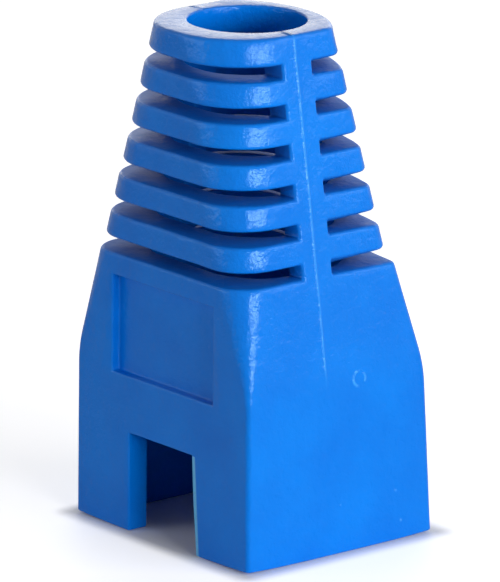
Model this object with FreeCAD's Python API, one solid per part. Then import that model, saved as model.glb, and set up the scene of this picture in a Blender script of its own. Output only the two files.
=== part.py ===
"""Strain relief boot for an eight-way modular plug: one moulding in soft PVC.

The mouth slips over the back of the plug.  A square body narrows into a neck
of rings, parted by slots that leave two bridges, so that the neck bends with
the cable.  +Z runs from the mouth to the cable end, and the mouth lies on
Z = 0.  The notched side faces -Y.  All lengths are in millimetres.
"""
import FreeCAD, Part
import math
import os
from FreeCAD import Vector

# ---- driving dimensions -------------------------------------------------
# Mouth, which takes the back of the plug
plug_width = 11.7          # X, across the eight contacts
plug_clearance = 0.05      # each side
wall = 1.25                # of the mouth
mouth_depth = 12.54        # Y, outside

# Body
shoulder_height = 9.20     # where the straight sides end
body_height = 14.78        # where the rings begin
shoulder_blend = 0.90      # height of the bend at the shoulder, each way
side_draft = 0.05          # that each X side leans in up to the shoulder
front_draft = 0.02
back_draft = 0.58
body_top_width = 12.54
body_top_front_draft = 0.04
body_top_back = 4.23       # Y of the back corners

# Neck
ring_count = 6
ring_height = 1.30
top_ring_height = 1.42
slot_height = 0.75
first_ring_width = 12.30   # at the foot of the lowest ring
first_ring_front_draft = 0.10
first_ring_back = 3.78     # Y of the back corners
neck_end_width = 8.46
neck_end_front = -5.44     # Y
neck_end_back = 1.43       # Y of the back corners

# Roundness of the outline: front corners, back corners, and bow of the back
mouth_rounding = (0.25, 0.30, 0.06)
shoulder_rounding = (0.30, 0.35, 0.20)
body_top_rounding = (1.80, 0.45, 0.50)
first_ring_rounding = (2.10, 0.80, 0.60)
neck_end_rounding = (3.85, 0.80, 1.82)

# Bridges that join the rings, at the two X sides
bridge_middle = -0.975     # Y
bridge_width = 1.99        # Y

# Passage for the cable
bore_diameter = 6.20
bore_offset = -0.69        # Y of the bore's middle
shoulder_wall = 1.30
pocket_radius = 0.60
throat_wall = 1.15         # at the top of the body, X sides
throat_end_wall = 1.70     # at the top of the body, front and back
throat_radius = 3.30

# Latch notch in the front of the mouth
notch_width = 5.30
notch_height = 5.32

# Recessed panel on the front of the body
panel_width = 8.50
panel_height = 5.20
panel_margin = 1.18        # between the panel and the rings
panel_depth = 0.50
panel_radius = 0.25

# ---- values that follow -------------------------------------------------
mouth_width = plug_width + 2 * plug_clearance + 2 * wall
mouth_front = -mouth_depth / 2
mouth_back = mouth_depth / 2 - mouth_rounding[2]
shoulder_width = mouth_width - 2 * side_draft
shoulder_front = mouth_front + front_draft
shoulder_back = mouth_back - back_draft
body_top_front = mouth_front + body_top_front_draft
first_ring_front = mouth_front + first_ring_front_draft
pitch = ring_height + slot_height
first_ring_foot = body_height + slot_height
bore_start = body_height + ring_count * pitch - ring_height    # foot of the top ring
total_height = bore_start + top_ring_height
overrun = 1.0              # how far a cutting tool runs past the surface


def mix(low, high, share):
    """Value part of the way from low to high."""
    return low + (high - low) * share


def mix_sections(low, high, share):
    """Section part of the way between two sections, each a tuple of sizes."""
    return tuple(mix(a, b, share) for a, b in zip(low, high))


# ---- outline of the outside ---------------------------------------------
# A section is height, half width, front Y, back corner Y, front corner
# radius, back corner radius, bow of the back.
def outside_section(height, width, front, back, rounding):
    return (height, width / 2, front, back) + rounding


def arc(first, middle, last):
    return Part.Arc(first, middle, last).toShape()


def corner(centre, radius, start_angle, end_angle):
    """Arc about a vertical axis, by angles in degrees from +X."""
    points = []
    for angle in (start_angle, (start_angle + end_angle) / 2, end_angle):
        turn = math.radians(angle)
        offset = Vector(math.cos(turn), math.sin(turn), 0) * radius
        points.append(centre + offset)
    return arc(*points)


def outside_wire(section):
    """Closed outline: flat front and sides, bowed back, rounded corners."""
    z, half, front, back, front_radius, back_radius, bow = section
    bow_radius = (half * half + bow * bow) / (2 * bow)
    bow_centre = Vector(0, back + bow - bow_radius, z)
    # The back corner's arc touches the flat side and the bowed back.
    reach = bow_radius - back_radius
    corner_x = half - back_radius
    corner_y = bow_centre.y + math.sqrt(reach * reach - corner_x * corner_x)
    meet_angle = math.degrees(math.atan2(corner_y - bow_centre.y, corner_x))
    right_back = Vector(corner_x, corner_y, z)
    left_back = Vector(-corner_x, corner_y, z)
    right_front = Vector(half - front_radius, front + front_radius, z)
    left_front = Vector(front_radius - half, front + front_radius, z)
    front_right = corner(right_front, front_radius, -90, 0)
    back_right = corner(right_back, back_radius, 0, meet_angle)
    back_bow = corner(bow_centre, bow_radius, meet_angle, 180 - meet_angle)
    back_left = corner(left_back, back_radius, 180 - meet_angle, 180)
    front_left = corner(left_front, front_radius, 180, 270)
    arcs = [front_right, back_right, back_bow, back_left, front_left]
    return joined_wire(arcs, sides_before=(0, 1, 4))


def joined_wire(arcs, sides_before):
    """Wire of arcs, with a straight side before each arc that is named."""
    edges = []
    for index, edge in enumerate(arcs):
        if index in sides_before:
            start = arcs[index - 1].lastVertex(True).Point
            end = edge.firstVertex(True).Point
            edges.append(Part.makeLine(start, end))
        edges.append(edge)
    return Part.Wire(edges)


mouth = outside_section(0, mouth_width, mouth_front, mouth_back, mouth_rounding)
shoulder = outside_section(
    shoulder_height, shoulder_width, shoulder_front, shoulder_back, shoulder_rounding)
body_top = outside_section(
    body_height, body_top_width, body_top_front, body_top_back, body_top_rounding)
first_ring = outside_section(
    first_ring_foot, first_ring_width, first_ring_front, first_ring_back, first_ring_rounding)
neck_end = outside_section(
    total_height, neck_end_width, neck_end_front, neck_end_back, neck_end_rounding)


def shoulder_sections(steps=6):
    """Sections along a smooth bend from the straight sides to the taper."""
    below = mix_sections(mouth, shoulder, 1 - shoulder_blend / shoulder_height)
    above = mix_sections(shoulder, body_top, shoulder_blend / (body_height - shoulder_height))
    sections = []
    for step in range(steps + 1):
        share = step / steps
        lower = mix_sections(below, shoulder, share)
        upper = mix_sections(shoulder, above, share)
        sections.append(mix_sections(lower, upper, share))
    return sections


def make_outside():
    sections = [mouth] + shoulder_sections() + [body_top, first_ring, neck_end]
    return Part.makeLoft([outside_wire(section) for section in sections], True, True)


# ---- passage through the boot -------------------------------------------
def pocket_wire(z, half, front, back, radius):
    """Rounded rectangle, by its half width and the Y of its front and back."""
    right_front = Vector(half - radius, front + radius, z)
    right_back = Vector(half - radius, back - radius, z)
    left_back = Vector(radius - half, back - radius, z)
    left_front = Vector(radius - half, front + radius, z)
    arcs = [
        corner(right_front, radius, -90, 0),
        corner(right_back, radius, 0, 90),
        corner(left_back, radius, 90, 180),
        corner(left_front, radius, 180, 270)]
    return joined_wire(arcs, sides_before=(0, 1, 2, 3))


def bore_wire(z, flat_angle=8):
    """Circle of the bore, in eight arcs that pair with a pocket's eight edges."""
    centre = Vector(0, bore_offset, z)
    edges = []
    for quarter in (0, 90, 180, 270):
        middle = quarter - 90
        edges.append(corner(centre, bore_diameter / 2, middle - flat_angle, middle + flat_angle))
        edges.append(corner(centre, bore_diameter / 2, middle + flat_angle, middle + 90 - flat_angle))
    return Part.Wire(edges)


def inside_wire(section, side_wall, end_wall, radius):
    """Pocket outline inside an outside section, less its walls."""
    z, half, front, back, front_radius, back_radius, bow = section
    return pocket_wire(z, half - side_wall, front + end_wall, back + bow - end_wall, radius)


def make_passage():
    """Passage that narrows from the mouth's pocket to the bore of the top ring."""
    mouth_pocket = inside_wire(mouth, wall, wall, pocket_radius)
    passage = Part.makeLoft([
        mouth_pocket,
        inside_wire(shoulder, shoulder_wall, shoulder_wall, pocket_radius),
        inside_wire(body_top, throat_wall, throat_end_wall, throat_radius),
        bore_wire(bore_start)], True, True)
    below = Part.Face(mouth_pocket).extrude(Vector(0, 0, -overrun))
    bore = Part.makeCylinder(
        bore_diameter / 2, total_height - bore_start + overrun, Vector(0, bore_offset, bore_start))
    return passage.fuse([below, bore])


# ---- slots, notch and panel ---------------------------------------------
def make_slots():
    """Slots between the rings, cut from the front and from the back."""
    reach = mouth_width
    slots = []
    for level in range(ring_count):
        z = body_height + level * pitch
        front_end = bridge_middle - bridge_width / 2
        back_end = bridge_middle + bridge_width / 2
        slots.append(Part.makeBox(
            2 * reach, reach, slot_height, Vector(-reach, front_end - reach, z)))
        slots.append(Part.makeBox(2 * reach, reach, slot_height, Vector(-reach, back_end, z)))
    return Part.makeCompound(slots)


def make_notch():
    depth = wall + overrun
    return Part.makeBox(
        notch_width, depth + overrun, notch_height + overrun,
        Vector(-notch_width / 2, mouth_front - overrun, -overrun))


def make_panel():
    """Cutter for a shallow recess with rounded corners."""
    panel_bottom = body_height - panel_margin - panel_height
    box = Part.makeBox(
        panel_width, panel_depth + overrun, panel_height,
        Vector(-panel_width / 2, shoulder_front - overrun, panel_bottom))
    upright = [edge for edge in box.Edges if abs(edge.tangentAt(edge.FirstParameter).y) > 0.99]
    return box.makeFillet(panel_radius, upright)


def make_boot():
    boot = make_outside()
    boot = boot.cut(make_passage())
    boot = boot.cut(make_slots())
    boot = boot.cut(make_notch())
    boot = boot.cut(make_panel())
    return boot


boot = make_boot()
os.makedirs("parts", exist_ok=True)
boot.exportStep("parts/boot.step")
print("boot", "solids", len(boot.Solids), "valid", boot.isValid())
print("height %.2f, mouth %.2f x %.2f" % (total_height, mouth_width, mouth_depth))
print("volume %.1f mm3" % boot.Volume)
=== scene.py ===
# %% [markdown]
# # A strain relief boot in soft PVC
#
# The boot is one moulding that slips over the back of a data plug. A square
# body with a latch notch narrows into a neck of rings, and slots part the
# rings so that the neck bends with its cable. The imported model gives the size
# and place of everything, so it is loaded first.

# %% Load the frame and measure it
import bisect
import math
from collections import namedtuple
import bmesh
import bpy
from mathutils import Matrix, Vector, noise


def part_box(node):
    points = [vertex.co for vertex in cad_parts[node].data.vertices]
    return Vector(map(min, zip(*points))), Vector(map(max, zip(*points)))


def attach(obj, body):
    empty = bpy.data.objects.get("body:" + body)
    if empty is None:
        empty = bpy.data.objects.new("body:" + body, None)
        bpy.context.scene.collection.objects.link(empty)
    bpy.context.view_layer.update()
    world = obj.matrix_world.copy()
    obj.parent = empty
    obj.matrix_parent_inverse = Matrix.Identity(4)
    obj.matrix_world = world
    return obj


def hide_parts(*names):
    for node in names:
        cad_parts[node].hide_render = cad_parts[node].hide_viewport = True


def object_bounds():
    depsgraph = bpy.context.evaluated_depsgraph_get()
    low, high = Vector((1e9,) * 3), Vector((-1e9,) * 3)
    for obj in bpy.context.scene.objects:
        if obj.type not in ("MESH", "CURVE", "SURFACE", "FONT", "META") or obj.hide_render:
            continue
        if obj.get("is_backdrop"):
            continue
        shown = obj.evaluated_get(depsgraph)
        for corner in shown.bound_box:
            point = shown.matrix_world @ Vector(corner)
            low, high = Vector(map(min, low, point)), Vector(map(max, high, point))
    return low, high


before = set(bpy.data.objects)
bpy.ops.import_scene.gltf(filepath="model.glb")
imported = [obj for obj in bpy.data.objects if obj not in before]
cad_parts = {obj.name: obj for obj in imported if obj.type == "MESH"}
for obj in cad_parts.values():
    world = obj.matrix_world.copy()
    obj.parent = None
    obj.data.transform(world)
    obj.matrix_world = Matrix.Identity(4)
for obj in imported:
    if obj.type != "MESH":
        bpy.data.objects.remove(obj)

MM = 0.001    # shapes are given in millimetres, and Blender counts in metres
cad_low, cad_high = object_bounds()
boot_low, boot_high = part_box("boot")
height = boot_high[2]
sides = [(high - low) / MM for low, high in zip(boot_low, boot_high)]
print("the model is %.2f x %.2f x %.2f mm" % tuple(sides))

# %% [markdown]
# ## The outline at each height
#
# A mould maker draws such a boot as a few plan sections, each a rounded
# rectangle with a slightly bowed back, and blends between them. The same few
# sections are given here in millimetres, and everything else is worked out
# from them. The mouth, the shoulder where the sides start to lean in, the top
# of the body, the foot of the first ring and the cable end are enough.

# %% Sections of the outside
# Half is the half width, and back is where the back corners lie.
Section = namedtuple("Section", "height half front back front_radius back_radius bow")
mouth = Section(0.0, 7.15, -6.27, 6.21, 0.25, 0.30, 0.06)
shoulder = Section(9.20, 7.10, -6.25, 5.63, 0.30, 0.35, 0.20)
body_top = Section(14.78, 6.27, -6.23, 4.23, 1.80, 0.45, 0.50)
first_ring = Section(15.53, 6.15, -6.17, 3.78, 2.10, 0.80, 0.60)
cable_end = Section(height / MM, 4.23, -5.44, 1.43, 3.85, 0.80, 1.82)
shoulder_blend = 0.90    # height of the bend at the shoulder, each way


def mix(low, high, share):
    """Part of the way from low to high, for numbers, points or whole sections."""
    if isinstance(low, tuple):
        return tuple(mix(a, b, share) for a, b in zip(low, high))
    return low + (high - low) * share


def between(low, high, z):
    """Outline at height z on the straight run from one section to the next."""
    return mix(low, high, (z - low.height) / (high.height - low.height))


def outside_at(z):
    """Outline of the outside at height z, with a smooth bend at the shoulder."""
    bend_start = shoulder.height - shoulder_blend
    bend_end = shoulder.height + shoulder_blend
    if z <= bend_start:
        return between(mouth, shoulder, z)
    if z < bend_end:
        share = (z - bend_start) / (2 * shoulder_blend)
        lower = mix(between(mouth, shoulder, bend_start), shoulder, share)
        upper = mix(shoulder, between(shoulder, body_top, bend_end), share)
        return mix(lower, upper, share)
    if z <= body_top.height:
        return between(shoulder, body_top, z)
    if z <= first_ring.height:
        return between(body_top, first_ring, z)
    return between(first_ring, cable_end, z)


print("half width: %.2f mm at the mouth, %.2f mm at the cable end" % (mouth.half, cable_end.half))

# %% [markdown]
# ## Walking round an outline
#
# Every level of the skin needs the same number of points, and some of them
# have to sit on a feature: the notch sides, the panel sides, the bridge ends
# and the parting line. So half an outline, from the middle of the front to
# the middle of the back, is walked as a fine path. Anchors are placed on it
# by their X or Y, and the other points are spread evenly between the anchors.
# The left half mirrors the right.

# %% Half an outline as a fine path
ARC_STEPS = 24


def arc_points(centre, radius, start, end):
    """Points along an arc, by angles in radians."""
    angles = [mix(start, end, i / ARC_STEPS) for i in range(ARC_STEPS + 1)]
    return [(centre[0] + radius * math.cos(a), centre[1] + radius * math.sin(a)) for a in angles]


def outside_path(outline):
    """Half an outside outline: flat front, corner, flat side, corner, bowed back."""
    z, half, front, back, front_radius, back_radius, bow = outline
    bow_radius = (half * half + bow * bow) / (2 * bow)
    bow_middle = back + bow - bow_radius
    corner_x = half - back_radius
    corner_y = bow_middle + math.sqrt((bow_radius - back_radius) ** 2 - corner_x ** 2)
    meet = math.atan2(corner_y - bow_middle, corner_x)
    front_middle = (half - front_radius, front + front_radius)
    front_corner = arc_points(front_middle, front_radius, -math.pi / 2, 0)
    back_corner = arc_points((corner_x, corner_y), back_radius, 0, meet)
    back_bow = arc_points((0, bow_middle), bow_radius, meet, math.pi / 2)
    return [(0, front)] + front_corner + back_corner + back_bow[1:]


def passage_path(outline):
    """Half an outline of the passage, which is a rounded rectangle."""
    half, front, back, radius = outline
    front_corner = arc_points((half - radius, front + radius), radius, -math.pi / 2, 0)
    back_corner = arc_points((half - radius, back - radius), radius, 0, math.pi / 2)
    return [(0, front)] + front_corner + back_corner + [(0, back)]


# places in either path where its two corners start and end
FRONT_CORNER = 1
FRONT_CORNER_END = FRONT_CORNER + ARC_STEPS
BACK_CORNER = FRONT_CORNER_END + 1
BACK_CORNER_END = BACK_CORNER + ARC_STEPS
print("the path round half the mouth has", len(outside_path(mouth)), "points")

# %% [markdown]
# ## The columns
#
# These are the real widths that the anchors stand for. The notch is cut for
# the plug's latch, the panel is a recess in the front, and the two bridges
# are what is left of the neck between the slots. The parting line is where
# the two halves of the mould met, and it leaves a thin raised line on both
# sides of the boot.

# %% Feature sizes
notch_height = 5.32
panel_half = 4.15
panel_bottom = 8.40
panel_top = 13.60
panel_depth = 0.50
bridge_front = -1.97
bridge_back = 0.02
parting = -1.07         # Y of the parting line
parting_half = 0.075    # half its width
print("the bridges are %.2f mm wide" % (bridge_back - bridge_front))

# %% Columns of the skin
# steps from one anchor to the next, from the front's middle to the back's
spread = (4, 3, 3, 10, 4, 3, 1, 1, 3, 5, 6, 6)
NOTCH_SIDE, PANEL_SIDE = spread[0], sum(spread[:2])
BRIDGE_START, PARTING_LINE, BRIDGE_END = sum(spread[:5]), sum(spread[:7]), sum(spread[:9])
around = 2 * sum(spread)


def columns(path, notch_half):
    """Points of one level's half outline, from front middle to back middle."""
    lengths = [0.0]
    for a, b in zip(path, path[1:]):
        lengths.append(lengths[-1] + math.dist(a, b))

    def point_at(length):
        i = min(max(bisect.bisect_left(lengths, length), 1), len(path) - 1)
        step = lengths[i] - lengths[i - 1]
        return mix(path[i - 1], path[i], (length - lengths[i - 1]) / step if step > 0 else 0)

    def length_at(y):
        i = next(i for i in range(1, len(path)) if path[i][1] >= y > path[i - 1][1])
        low, high = path[i - 1][1], path[i][1]
        return mix(lengths[i - 1], lengths[i], (y - low) / (high - low))

    whole = lengths[-1]
    bridge, bridge_stop = length_at(bridge_front), length_at(bridge_back)
    # Where large corners crowd the flats, these shares keep the anchors apart.
    corner = max(lengths[FRONT_CORNER], 0.35 * bridge)
    corner_stop = min(lengths[FRONT_CORNER_END], mix(corner, bridge, 0.75))
    back = max(lengths[BACK_CORNER], mix(bridge_stop, whole, 0.15))
    back_stop = min(lengths[BACK_CORNER_END], mix(back, whole, 0.6))
    notch_side = min(notch_half, 0.53 * corner)
    panel_side = min(panel_half, 0.86 * corner)
    line_stops = [length_at(parting + offset) for offset in (-parting_half, 0, parting_half)]
    stops = (0, notch_side, panel_side, corner, corner_stop, bridge, *line_stops,
             bridge_stop, back, back_stop, whole)
    points = []
    for low, high, count in zip(stops, stops[1:], spread):
        points += [point_at(mix(low, high, i / count)) for i in range(count)]
    return points + [path[-1]]


print("the skin has", around, "columns")

# %% [markdown]
# ## The levels
#
# The skin also needs a level at every height where something starts or ends:
# the top of the notch, the panel, the shoulder and each ring. The levels in
# between keep its faces about as tall as they are wide.

# %% Levels of the outside
ring_count = 6
ring_height = 1.30
slot_height = 0.75
pitch = ring_height + slot_height

outside_levels = [0, 0.45, 1.5, 2.7, 3.9, 4.9, notch_height, 5.75, 6.6, 7.5, 8.1, panel_bottom, 8.75,
                  9.2, 9.65, 10.1, 10.9, 11.7, 12.5, 13.2, panel_top, 14.0, 14.4, body_top.height]
slot_floors = []    # place in the list of the level under each slot
for ring in range(ring_count):
    foot = body_top.height + slot_height + ring * pitch
    top = cable_end.height if ring == ring_count - 1 else foot + ring_height
    slot_floors.append(len(outside_levels) - 1)
    outside_levels += [foot, mix(foot, top, 0.3), mix(foot, top, 0.7), top]
print(len(outside_levels), "levels, and the lowest slot starts at %.2f mm" % body_top.height)

# %% [markdown]
# ## The passage
#
# Inside, the same levels follow the passage for the plug and the cable. It is
# a roomy pocket at the mouth, narrows to a throat at the top of the body, and
# ends as a round bore that grips the cable in the top ring. Each outline is a
# rounded rectangle, and the bore is one whose corners meet.

# %% Outline of the passage
bore_radius = 3.10
bore_y = -0.69
bore_foot = foot    # of the top ring

# half width, front, back and corner radius, at three heights and at the bore
mouth_pocket = (5.90, -5.02, 5.02, 0.60)
shoulder_pocket = (5.80, -4.95, 4.53, 0.60)
throat = (5.12, -4.53, 3.03, 2.90)
bore = (bore_radius, bore_y - bore_radius, bore_y + bore_radius, bore_radius)


def inside_at(z):
    """Outline of the passage at height z."""
    if z <= shoulder.height:
        return mix(mouth_pocket, shoulder_pocket, z / shoulder.height)
    if z <= body_top.height:
        share = (z - shoulder.height) / (body_top.height - shoulder.height)
        return mix(shoulder_pocket, throat, share)
    return mix(throat, bore, min((z - body_top.height) / (bore_foot - body_top.height), 1))


print("the bore is %.2f mm wide, from %.2f mm up" % (2 * bore_radius, bore_foot))

# %% [markdown]
# ## Where each point goes
#
# Real soft mouldings are never quite true. One leg beside the notch leans in
# a little at its top, the mouth's corners lift off the table by a hair, and
# the top of the body has sunk a little at one front corner, where the plastic
# is thickest. The edges of the rings wander by a few hundredths of a
# millimetre. These are added to the places of the points, so that light
# catches them as it does on the real part. The wander is noise with a seed,
# so that it is the same in every run.

# %% Points round one level
straight_half = 2.70    # half width of the notch on the left
leaning_half = 2.50     # and on the right, at its top
lean = 0.38             # how much wider the right half is at its foot


def notch_half_at(z, side):
    """Half width of the notch, wider at the foot of the leg that leans."""
    share = max(1 - z / notch_height, 0)
    return leaning_half + lean * share ** 1.5 if side > 0 else straight_half


def level_points(z, path):
    """All the points round one level, by the right side and back by the left."""
    right = columns(path, notch_half_at(z, 1))
    left = columns(path, notch_half_at(z, -1))
    return ([Vector((x, y, z)) for x, y in right[:-1]]
            + [Vector((-x, y, z)) for x, y in reversed(left[1:])])


print("the notch is %.2f mm wide at its foot" % (notch_half_at(0, 1) + notch_half_at(0, -1)))

# %% The small faults of a soft moulding
noise.seed_set(5)
body_wander, ring_wander = 0.022, 0.045
corner_lift = 0.10    # of the mouth's corners
sink_depth, sink_middle, sink_radius = 0.20, (5.7, -5.7), 2.4
crown_height, crown_start, crown_end = 0.022, 8.0, 10.0


def wander(place, amount):
    """Small smooth offset that differs from place to place."""
    slow = noise.noise_vector(place * 0.14) * amount
    quick = noise.noise_vector(place * 0.55 + Vector((7, 3, 5))) * amount * 0.55
    return slow + quick


def true_to_life(point):
    """The point with the small faults of a soft moulding, kept inside the model's box."""
    place = point + wander(point, ring_wander if point.z > body_top.height - 0.2 else body_wander)
    if point.z == 0:
        to_side = min(abs(point.x) / mouth.half, 1)
        to_front = min(abs(point.y) / -mouth.front, 1)
        place.z = corner_lift * (to_side ** 4 * to_front ** 4)
    if point.z == body_top.height:
        nearness = max(1 - math.dist(point.xy, sink_middle) / sink_radius, 0)
        place.z -= sink_depth * nearness ** 0.7
    place.z = min(place.z, cable_end.height)
    place.x = min(max(place.x, -mouth.half), mouth.half)
    place.y = min(max(place.y, mouth.front), -mouth.front)
    return place


def parting_crown(z):
    """Height of the parting line, which dies out below the shoulder."""
    rise = min(max((z - crown_start) / (crown_end - crown_start), 0), 1)
    return crown_height * rise * rise * (3 - 2 * rise)


print("the parting line stands %.3f mm high on the neck" % parting_crown(body_top.height))

# %% [markdown]
# ## The skin
#
# The outside is grown the way a glassblower draws a tube: a circle of points
# is opened at the mouth, and its edge is extruded upwards level by level,
# with every new loop set on its own outline. Each point remembers its column
# and its level, so that the passage can be shaped from the same skin later.

# %% Start with a circle that knows its columns
skin = bmesh.new()
column_of = skin.verts.layers.int.new("column")
level_of = skin.verts.layers.int.new("level")
inside = skin.verts.layers.int.new("inside")
bmesh.ops.create_circle(skin, cap_ends=False, segments=around, radius=boot_high[0])
skin.verts.ensure_lookup_table()
first = min(range(around), key=lambda i: skin.verts[i].co.y)
turn = 1 if skin.verts[(first + 1) % around].co.x > skin.verts[first].co.x else -1
for i in range(around):
    skin.verts[(first + turn * i) % around][column_of] = i
print("the circle has", len(skin.verts), "points")

# %% Grow the outside level by level
top_dip = 0.06    # of the cable end's face, where the parting line crosses it


def set_level(verts, z, path):
    """Put one loop of points on its outline."""
    places = level_points(z, path)
    for vert in verts:
        place = true_to_life(places[vert[column_of]])
        if vert[column_of] in (PARTING_LINE, around - PARTING_LINE):
            if not vert[inside]:
                place.x += math.copysign(parting_crown(z), place.x)
            if z == cable_end.height:
                place.z -= top_dip
        vert.co = place * MM


set_level(skin.verts, 0, outside_path(outside_at(0)))
loop = list(skin.edges)
for level, z in enumerate(outside_levels[1:], 1):
    grown = bmesh.ops.extrude_edge_only(skin, edges=loop)["geom"]
    new_verts = [g for g in grown if isinstance(g, bmesh.types.BMVert)]
    for vert in new_verts:
        vert[level_of] = level
    set_level(new_verts, z, outside_path(outside_at(z)))
    loop = [e for e in skin.edges if all(v[level_of] == level for v in e.verts)]
print("the outside has", len(skin.faces), "faces")

# %% [markdown]
# ## Slots, notch and walls
#
# A shell with holes can be cut with booleans, but those leave ragged meshes
# that bevel badly. Here every opening already has points along its sides, so
# its faces are simply taken out. Then the whole skin is extruded once. The
# copy becomes the wall of the passage, and the extrusion closes every
# opening and both ends with clean strips between the two. The slots of a
# real moulding close in a little towards the inside, because the thin steel
# blades that shape them must slide out of the soft part, so the inside levels
# of a slot are set closer together.

# %% Take out the openings
def face_place(face):
    """Lowest level of a face, and how many columns it is from the front's middle."""
    level = min(v[level_of] for v in face.verts)
    ends = {v[column_of] for v in face.verts}
    column = around - 1 if ends == {0, around - 1} else min(ends)
    return level, min(column, around - 1 - column)


openings = []
for face in skin.faces:
    level, from_front = face_place(face)
    in_slot = level in slot_floors and not BRIDGE_START <= from_front < BRIDGE_END
    in_notch = outside_levels[level] < notch_height and from_front < NOTCH_SIDE
    if in_slot or in_notch:
        openings.append(face)
print(len(openings), "faces are taken out for the slots and the notch")
bmesh.ops.delete(skin, geom=openings, context="FACES")

# %% Close the wall round the passage
# how far a slot closes on the inside, at its foot and at its top
slot_closing = {"front": (0.0, 0.16), "back": (0.04, 0.58)}
copied = bmesh.ops.extrude_face_region(skin, geom=skin.faces[:])["geom"]
inner = [g for g in copied if isinstance(g, bmesh.types.BMVert)]
for vert in inner:
    vert[inside] = 1
for level, z in enumerate(outside_levels):
    loop = [v for v in inner if v[level_of] == level]
    set_level(loop, z, passage_path(inside_at(z)))
    for vert in loop:
        at_foot, at_top = slot_closing["front" if vert.co.y < parting * MM else "back"]
        if level in slot_floors:
            vert.co.z += at_foot * MM
        elif level - 1 in slot_floors:
            vert.co.z -= at_top * MM
bmesh.ops.recalc_face_normals(skin, faces=skin.faces[:])
print("open edges left:", sum(not e.is_manifold for e in skin.edges))
print("volume %.0f mm3" % (skin.calc_volume(signed=True) / MM ** 3))

# %% [markdown]
# ## The panel
#
# The front of the body has a shallow recess, where some makers cut a name.
# Here it stays bare. Its faces are extruded as one patch and pushed in, which
# gives the floor and the four walls at once. The first patch would stay
# behind as a lid, so it is deleted.

# %% Press the panel in
panel = []
for face in skin.faces:
    level, from_front = face_place(face)
    on_front = from_front < PANEL_SIDE and not any(v[inside] for v in face.verts)
    if on_front and panel_bottom <= outside_levels[level] < panel_top:
        panel.append(face)
pressed = bmesh.ops.extrude_face_region(skin, geom=panel)["geom"]
floor_verts = [g for g in pressed if isinstance(g, bmesh.types.BMVert)]
bmesh.ops.delete(skin, geom=panel, context="FACES")
bmesh.ops.translate(skin, verts=floor_verts, vec=(0, panel_depth * MM, 0))
print("the panel is", panel_depth, "mm deep")
print("open edges left:", sum(not e.is_manifold for e in skin.edges))

# %% [markdown]
# ## Soft edges
#
# No edge of a soft moulding is sharp: the steel is rounded a little and the
# plastic shrinks away from it. The lips of the rings are the softest, because
# the blades that part them wear. They are rounded first and most. Then every
# other edge where two faces meet at a clear angle gets a smaller rounding.

# %% Round the edges
CLEAR_ANGLE = math.radians(40)


def sharp_edges():
    """Edges where two faces meet at a clear angle."""
    return [e for e in skin.edges if len(e.link_faces) == 2 and e.calc_face_angle(0) > CLEAR_ANGLE]


def round_edges(edges, offset, segments):
    """Round the edges by an offset in millimetres."""
    bmesh.ops.bevel(
        skin, geom=edges, affect="EDGES", offset=offset * MM, segments=segments, profile=0.5,
        material=-1, clamp_overlap=False)
    print(len(edges), "edges rounded by", offset, "mm")


ring_lips = [e for e in sharp_edges()
             if all(v[level_of] >= slot_floors[0] and not v[inside] for v in e.verts)]
round_edges(ring_lips, 0.19, 4)
round_edges(sharp_edges(), 0.10, 3)
print("open edges left:", sum(not e.is_manifold for e in skin.edges))

# %% [markdown]
# ## The finished piece
#
# The skin becomes one mesh object. Its faces are shaded smooth, because the
# roundings now carry the turn of every edge. It rides on the model's only
# body and stands for the solid, which is then not shown.

# %% Make the boot an object that rides on the frame
mesh = bpy.data.meshes.new("boot_moulding")
skin.to_mesh(mesh)
skin.free()
for polygon in mesh.polygons:
    polygon.use_smooth = True
boot = bpy.data.objects.new("boot_moulding", mesh)
bpy.context.collection.objects.link(boot)
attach(boot, "root")
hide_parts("boot")
print("the boot has", sum(len(p.vertices) - 2 for p in mesh.polygons), "triangles")

# %% [markdown]
# ## The plastic
#
# The boot is soft PVC, injection moulded in two steel halves. It is coloured
# right through, so there is no paint edge. The steel was bead blasted, so the
# skin is satin: it takes a soft highlight that breaks up into a fine grain.
# PVC has an index of refraction of about 1.53. Plasticiser and flow leave
# faint clouds in the colour and the gloss, a few millimetres across. All the
# patterns are worked out from Object coordinates, so none needs unwrapping.

# %% Helpers for materials
def to_linear(code):
    """Linear colour from an sRGB hex code."""
    parts = [int(code[i:i + 2], 16) / 255 for i in (1, 3, 5)]
    return tuple(p / 12.92 if p <= 0.04045 else ((p + 0.055) / 1.055) ** 2.4 for p in parts) + (1.0,)


def add_node(tree, kind, settings=(), **links):
    """Add a node with its settings, and link or set its inputs."""
    node = tree.nodes.new(kind)
    for name, value in dict(settings).items():
        setattr(node, name, value)
    for name, value in links.items():
        key = int(name[1:]) if name[0] == "i" and name[1:].isdigit() else name.replace("_", " ")
        if isinstance(value, bpy.types.NodeSocket):
            tree.links.new(value, node.inputs[key])
        else:
            node.inputs[key].default_value = value
    return node


DEEP_BLUE, CLEAR_BLUE, WHITE = (to_linear(code) for code in ("#006cd0", "#0076da", "#ffffff"))
print("the deep blue of the plastic is", [round(c, 3) for c in DEEP_BLUE])

# %% Soft PVC, with places in millimetres
pvc = bpy.data.materials.new("moulded_soft_pvc")
pvc.use_nodes = True
tree = pvc.node_tree
tree.nodes.clear()
output = add_node(tree, "ShaderNodeOutputMaterial")
# The shine is faintly blue, which keeps the colour deep under white lamps.
shader = add_node(tree, "ShaderNodeBsdfPrincipled", IOR=1.53, Specular_IOR_Level=0.30,
                  Specular_Tint=to_linear("#a8d4ff"))
tree.links.new(shader.outputs["BSDF"], output.inputs["Surface"])

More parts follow.
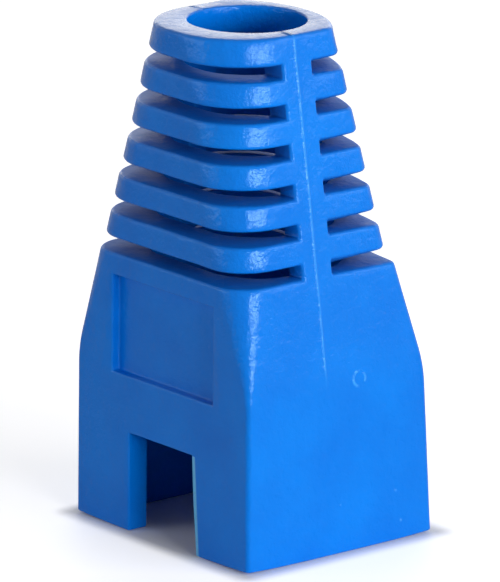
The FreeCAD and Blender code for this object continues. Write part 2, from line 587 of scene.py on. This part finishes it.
# Object coordinates are in metres, so this turns them to millimetres.
in_metres = add_node(tree, "ShaderNodeTexCoord").outputs["Object"]
in_mm = add_node(tree, "ShaderNodeMapping", Vector=in_metres, Scale=(1000, 1000, 1000)).outputs["Vector"]
place_x, place_y, place_z = add_node(tree, "ShaderNodeSeparateXYZ", Vector=in_mm).outputs
print("the material is named", pvc.name)

# %% Grain, waves and clouds
# Blast grain is about 0.05 mm, which is too fine to show, so it is drawn at 0.16 mm.
grain = add_node(tree, "ShaderNodeTexNoise", Vector=in_mm, Scale=1 / 0.16, Detail=2.0, Roughness=0.6)
# Shallow waves of about 0.6 mm, left by flow, break the highlight up.
waves = add_node(tree, "ShaderNodeTexNoise", Vector=in_mm, Scale=1 / 0.6, Detail=3.0, Roughness=0.55)
# Clouds in the colour are about 4 mm across.
clouds = add_node(tree, "ShaderNodeTexNoise", Vector=in_mm, Scale=1 / 4.0, Detail=3.0, Roughness=0.5)

tint = add_node(tree, "ShaderNodeValToRGB", Fac=clouds.outputs["Fac"])
deep_stop, clear_stop = tint.color_ramp.elements
deep_stop.position, deep_stop.color = 0.30, DEEP_BLUE
clear_stop.position, clear_stop.color = 0.72, CLEAR_BLUE
gloss = add_node(tree, "ShaderNodeMapRange", Value=waves.outputs["Fac"],
                 From_Min=0.3, From_Max=0.7, To_Min=0.12, To_Max=0.22)
print("the grain is drawn at %.2f mm" % (1 / grain.inputs["Scale"].default_value))

# %% [markdown]
# ## Masks for mould marks, painted shade and painted highlights
#
# Each mark is a mask: a value that is 1 where the mark is and 0 elsewhere.
# Most masks start from the distance to a middle, such as the middle of a ring
# or of a line, and are then kept to one part of the boot. The parting line
# also stands up in the mesh, while the other marks are too shallow for that.

# %% Helpers for masks
def distance_from(value, middle):
    """How far a value is from a middle, either way."""
    offset = add_node(tree, "ShaderNodeMath", {"operation": "SUBTRACT"}, i0=value, i1=middle)
    return add_node(tree, "ShaderNodeMath", {"operation": "ABSOLUTE"}, i0=offset.outputs[0]).outputs[0]


def fading(distance, full, gone, strength=1.0):
    """Mask that has its strength up to one distance, and is gone at the next."""
    fade = add_node(tree, "ShaderNodeMapRange", {"interpolation_type": "SMOOTHSTEP"}, Value=distance,
                    From_Min=full, From_Max=gone, To_Min=strength, To_Max=0.0)
    return fade.outputs["Result"]


def kept_to(mask, *limits):
    """The mask, kept to where all the limits hold too."""
    for limit in limits:
        both = add_node(tree, "ShaderNodeMath", {"operation": "MULTIPLY"}, i0=mask, i1=limit)
        mask = both.outputs[0]
    return mask


print("the material has", len(tree.nodes), "nodes before its marks")

# %% [markdown]
# ## Where the blades were, and painted shade in the slots
#
# The blades that part the rings are ground, not blasted, so the plastic that lay
# against them is duller. The same mask also paints shade into the slots: their
# faces are painted a deeper blue, as shade between the rings. The pattern
# repeats from ring to ring, so the height above the body is folded with a
# modulo, and the mask starts just inside the edge of each ring.

# %% Dull the walls of the slots and paint shade into them
slot_margin = 0.10    # how far a mark reaches past its slot
slot_fade = (ring_height / 2 - 0.09, ring_height / 2 + 0.01)    # from a ring's middle
above_body = add_node(tree, "ShaderNodeMath", {"operation": "SUBTRACT"}, i0=place_z, i1=body_top.height)
in_pitch = add_node(tree, "ShaderNodeMath", {"operation": "FLOORED_MODULO"},
                    i0=above_body.outputs[0], i1=pitch)
off_ring = distance_from(in_pitch.outputs[0], slot_height + ring_height / 2)
beyond_ring = add_node(tree, "ShaderNodeMapRange", Value=off_ring,
                       From_Min=slot_fade[0], From_Max=slot_fade[1])
# The marks start under the foot of the first slot, and end where a seventh slot's would start.
over_body = add_node(tree, "ShaderNodeMath", {"operation": "GREATER_THAN"},
                     i0=above_body.outputs[0], i1=-slot_margin)
under_top = add_node(tree, "ShaderNodeMath", {"operation": "LESS_THAN"},
                     i0=above_body.outputs[0], i1=ring_count * pitch - slot_margin)
off_bridge = distance_from(place_y, (bridge_front + bridge_back) / 2)
beside_bridge = add_node(tree, "ShaderNodeMath", {"operation": "GREATER_THAN"},
                         i0=off_bridge, i1=(bridge_back - bridge_front) / 2)
# This mask dulls the slots and also carries their painted shade.
slot_dulling_and_shade = kept_to(beyond_ring.outputs["Result"],
                      over_body.outputs[0], under_top.outputs[0], beside_bridge.outputs[0])
dulled = add_node(tree, "ShaderNodeMix", i0=slot_dulling_and_shade, i2=gloss.outputs["Result"], i3=0.62)
tree.links.new(dulled.outputs[0], shader.inputs["Roughness"])
print("the blade marks repeat every %.2f mm" % pitch)

# %% [markdown]
# ## The parting line
#
# Where the halves of the mould met, a thin raised line is left. It is painted
# paler than the rest, a painted highlight where the light catches its crest.
# It is clear on the neck and the upper body and dies out below the shoulder, as
# its crown in the mesh does.

# %% Painted highlight on the parting line
line_fade = 0.11                     # half the width of the pale line
line_start, line_full = 8.7, 10.5    # heights where it starts to show and is clear
outside_x = 3.6                      # between the bore and the narrowest ring's outside
# The paler colour along the line is a painted highlight on its crest.
line_width = fading(distance_from(place_y, parting), 0.0, line_fade, strength=0.5)
line_height = add_node(tree, "ShaderNodeMapRange", {"interpolation_type": "SMOOTHSTEP"},
                       Value=place_z, From_Min=line_start, From_Max=line_full)
outside_only = add_node(tree, "ShaderNodeMath", {"operation": "GREATER_THAN"},
                        i0=distance_from(place_x, 0.0), i1=outside_x)
line = kept_to(line_width, line_height.outputs["Result"], outside_only.outputs[0])
print("the parting line lies at Y =", parting, "mm")

# %% [markdown]
# ## Pin mark, pips and a painted highlight on the notch's edge
#
# An ejector pin pushed the boot out of the mould and left a faint raised ring
# on one side, broken where the pin sat unevenly. Dust in the mould left three
# pips. The ring and the pips are painted paler, a painted highlight where they
# catch the light. A pale line of painted highlight runs down the notch's right
# edge, on the leg that leans, where its rounded edge catches the light.

# %% Ejector ring and pips
# middle, radius of the ring (a pip has none), and how far the mark fades
marks = [((7.10, 1.15, 9.20), 0.40, 0.13),
         ((7.12, 3.64, 2.72), 0.0, 0.14),
         ((7.13, 4.01, 1.02), 0.0, 0.14),
         ((7.12, -0.08, 2.61), 0.0, 0.12)]
raised = 0.0
for middle, ring_radius, softness in marks:
    away = add_node(tree, "ShaderNodeVectorMath", {"operation": "DISTANCE"}, i0=in_mm, i1=middle)
    mark = fading(distance_from(away.outputs["Value"], ring_radius), 0.0, softness)
    either = add_node(tree, "ShaderNodeMath", {"operation": "MAXIMUM"}, i0=raised, i1=mark)
    raised = either.outputs[0]
patchy = add_node(tree, "ShaderNodeMapRange", Value=waves.outputs["Fac"], From_Min=0.46, From_Max=0.60)
broken = kept_to(raised, patchy.outputs["Result"])
# The marks and the line stand up in the bump, and their paler colour is a painted highlight.
shown = add_node(tree, "ShaderNodeMath", {"operation": "MAXIMUM"}, i0=broken, i1=line)
print(len(marks), "small marks on the right side")

# %% Painted highlight beside the notch
# What is called flash here is a painted highlight: a pale line down the notch's right edge, where its
# rounded edge catches the light.
edge_highlight_x = 2.62         # at the notch's top
edge_highlight_lean = 0.36      # how much further out it is at the foot
edge_highlight_behind = -6.10   # Y where the flash ends behind the front face
edge_highlight_middle = add_node(tree, "ShaderNodeMapRange", Value=place_z, From_Min=0.0, From_Max=notch_height,
                        To_Min=edge_highlight_x + edge_highlight_lean, To_Max=edge_highlight_x)
edge_highlight_width = fading(distance_from(place_x, edge_highlight_middle.outputs["Result"]), 0.08, 0.20)
on_front = add_node(tree, "ShaderNodeMath", {"operation": "LESS_THAN"}, i0=place_y, i1=edge_highlight_behind)
beside_notch = add_node(tree, "ShaderNodeMath", {"operation": "LESS_THAN"}, i0=place_z, i1=notch_height)
painted_edge_highlight = kept_to(edge_highlight_width, on_front.outputs[0], beside_notch.outputs[0])
print("the flash is", notch_height, "mm long")

# %% [markdown]
# ## Colour and relief
#
# The layers of colour go on in the order in which they lie: the tint of the
# plastic, the painted shade in the slots, the painted highlight on the pale
# marks and last the painted highlight down the notch's edge. The relief is
# three bumps of a few hundredths of a millimetre, the finest first.

# %% Colour and bump of the plastic
colour = tint.outputs["Color"]
# Painted shade in the slots, then painted highlights on the raised marks and down the notch's edge.
for mask, code in ((slot_dulling_and_shade, "#005eba"), (shown.outputs[0], "#3494ea"), (painted_edge_highlight, "#62b4e4")):
    layer = add_node(tree, "ShaderNodeMix", {"data_type": "RGBA"}, i0=mask, i6=colour, i7=to_linear(code))
    colour = layer.outputs[2]
tree.links.new(colour, shader.inputs["Base Color"])

fine = add_node(tree, "ShaderNodeBump", Height=grain.outputs["Fac"], Strength=0.5, Distance=0.04 * MM)
broad = add_node(tree, "ShaderNodeBump", Height=waves.outputs["Fac"], Strength=0.8, Distance=0.07 * MM,
                 Normal=fine.outputs["Normal"])
relief = add_node(tree, "ShaderNodeBump", Height=shown.outputs[0], Strength=0.6, Distance=0.06 * MM,
                  Normal=broad.outputs["Normal"])
tree.links.new(relief.outputs["Normal"], shader.inputs["Normal"])
mesh.materials.append(pvc)
print("the plastic has", len(tree.nodes), "nodes")

# %% [markdown]
# ## The table
#
# The boot stands on a plain pale card. Away from the boot the card glows a
# little for the camera, so that it fades to the white behind it, and close to
# the mouth it stays plain, so that the contact shadow keeps its depth. The
# distance is measured from the mouth's rectangle, which rounds the edge of
# the shadow at the corners.

# %% Table
table_mesh = bpy.data.meshes.new("table")
table_shape = bmesh.new()
bmesh.ops.create_grid(table_shape, x_segments=1, y_segments=1, size=1.5)
table_shape.to_mesh(table_mesh)
table_shape.free()
table = bpy.data.objects.new("table", table_mesh)
table.location.z = -0.02 * MM    # a hair below the mouth, so that the two faces don't lie in one plane
bpy.context.collection.objects.link(table)
print("the table lies %.2f mm below the mouth" % (-table.location.z / MM))

# %% Card that pales away from the boot
card = bpy.data.materials.new("white_card")
card.use_nodes = True
card_tree = card.node_tree
card_shader = card_tree.nodes["Principled BSDF"]
card_shader.inputs["Base Color"].default_value = to_linear("#f4f4f6")
card_shader.inputs["Roughness"].default_value = 0.6
card_shader.inputs["Emission Color"].default_value = WHITE
seen_by = add_node(card_tree, "ShaderNodeLightPath")
on_card = add_node(card_tree, "ShaderNodeTexCoord").outputs["Object"]
from_middle = add_node(card_tree, "ShaderNodeVectorMath", {"operation": "ABSOLUTE"}, i0=on_card)
past_mouth = add_node(card_tree, "ShaderNodeVectorMath", {"operation": "SUBTRACT"},
                      i0=from_middle.outputs["Vector"], i1=(mouth.half * MM, -mouth.front * MM, 0))
outward = add_node(card_tree, "ShaderNodeVectorMath", {"operation": "MAXIMUM"},
                   i0=past_mouth.outputs["Vector"], i1=(0, 0, 0))
from_boot = add_node(card_tree, "ShaderNodeVectorMath", {"operation": "LENGTH"},
                     i0=outward.outputs["Vector"])
paling = add_node(card_tree, "ShaderNodeMapRange", {"interpolation_type": "SMOOTHSTEP"},
                  Value=from_boot.outputs["Value"],
                  From_Min=0.0, From_Max=1.4 * MM, To_Min=0.0, To_Max=0.54)
lift = add_node(card_tree, "ShaderNodeMath", {"operation": "MULTIPLY"},
                i0=seen_by.outputs["Is Camera Ray"], i1=paling.outputs["Result"])
card_tree.links.new(lift.outputs[0], card_shader.inputs["Emission Strength"])
table_mesh.materials.append(card)
table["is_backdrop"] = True
print("the card's material has", len(card_tree.nodes), "nodes")

# %% [markdown]
# ## The camera
#
# A long lens a little above the boot keeps its upright edges almost parallel.
# The camera's own three axes are worked out from its direction, and a small
# roll turns two of them about the third.

# %% Camera
azimuth, elevation, roll = (math.radians(a) for a in (50.6, 15.418, 0.37))
distance = 0.38677
aim = Vector((-0.1275, -0.2753, 12.55)) * MM


def toward(turn, lift):
    """Unit vector that points away from the boot, by angles in radians from its front."""
    return Vector((math.sin(turn) * math.cos(lift), -math.cos(turn) * math.cos(lift), math.sin(lift)))


back = toward(azimuth, elevation)
level_right = Vector((math.cos(azimuth), math.sin(azimuth), 0))
level_up = back.cross(level_right)
camera_right = math.cos(roll) * level_right + math.sin(roll) * level_up
camera_up = -math.sin(roll) * level_right + math.cos(roll) * level_up
camera_data = bpy.data.cameras.new("camera")
camera_data.sensor_fit = "VERTICAL"
camera_data.sensor_height = 36
camera_data.lens = 459.8
camera = bpy.data.objects.new("camera", camera_data)
bpy.context.collection.objects.link(camera)
stand = Matrix((camera_right, camera_up, back)).transposed().to_4x4()
stand.translation = aim + back * distance
camera.matrix_world = stand
bpy.context.scene.camera = camera
print("the camera is %.0f mm from the boot" % (distance / MM))

# %% [markdown]
# ## The light
#
# Four soft panel lamps stand round the boot. The one on the right is low and
# makes the long highlight on the front corner. The one beside it lights the
# right side, the one behind lights the far rims and the tops of the rings,
# and the one on the left fills the front. A white tent surrounds them. It
# gives only a dim light of its own, but is pure white where the camera or a
# reflection sees it.

# %% Lamps
def soft_lamp(name, direction_deg, height_deg, away, wide, tall, watts):
    """White panel lamp at a direction round the boot, turned to face it."""
    where = toward(math.radians(direction_deg), math.radians(height_deg)) * away
    data = bpy.data.lights.new(name, "AREA")
    data.energy = watts
    data.shape = "RECTANGLE"
    data.size = wide
    data.size_y = tall
    lamp = bpy.data.objects.new(name, data)
    lamp.location = where + Vector((0, 0, height / 2))
    lamp.rotation_euler = (-where).to_track_quat("-Z", "Y").to_euler()
    lamp.visible_camera = False
    bpy.context.collection.objects.link(lamp)
    return lamp


lamps = [
    soft_lamp("right_lamp", 86, 11, away=0.45, wide=0.26, tall=0.10, watts=1.55),
    soft_lamp("side_lamp", 120, 22, away=0.45, wide=0.25, tall=0.25, watts=0.66),
    soft_lamp("back_lamp", 230, 18, away=0.60, wide=0.45, tall=0.45, watts=0.75),
    soft_lamp("left_lamp", -25, 14, away=0.45, wide=0.30, tall=0.20, watts=0.46)]
print(len(lamps), "lamps are lit")

# %% White tent
tent = bpy.data.worlds.new("tent")
bpy.context.scene.world = tent
tent.use_nodes = True
tent_tree = tent.node_tree
glow = tent_tree.nodes["Background"]
glow.inputs["Color"].default_value = WHITE
glow.inputs["Strength"].default_value = 0.13
seen = add_node(tent_tree, "ShaderNodeBackground", Color=WHITE, Strength=1.0)
rays = add_node(tent_tree, "ShaderNodeLightPath")
seen_or_glass = add_node(tent_tree, "ShaderNodeMath", {"operation": "MAXIMUM"},
                         i0=rays.outputs["Is Camera Ray"], i1=rays.outputs["Is Transmission Ray"])
seen_or_shine = add_node(tent_tree, "ShaderNodeMath", {"operation": "MAXIMUM"},
                         i0=seen_or_glass.outputs[0], i1=rays.outputs["Is Glossy Ray"])
blend = add_node(tent_tree, "ShaderNodeMixShader", Fac=seen_or_shine.outputs[0],
                 i1=glow.outputs[0], i2=seen.outputs[0])
tent_tree.links.new(blend.outputs[0], tent_tree.nodes["World Output"].inputs["Surface"])
bpy.context.scene.view_settings.view_transform = "Standard"
print("the tent is white where it is seen")

# %% [markdown]
# ## The last check
#
# The dressed boot has to fill the same box as the imported model, so both boxes
# are compared, and the largest difference is printed.

# %% Compare the boxes and finish
new_low, new_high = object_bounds()
cad_box, new_box = [*cad_low, *cad_high], [*new_low, *new_high]
largest = max(abs(a - b) for a, b in zip(cad_box, new_box))
print("the boot differs from the model's box by at most %.3f mm" % (largest / MM))
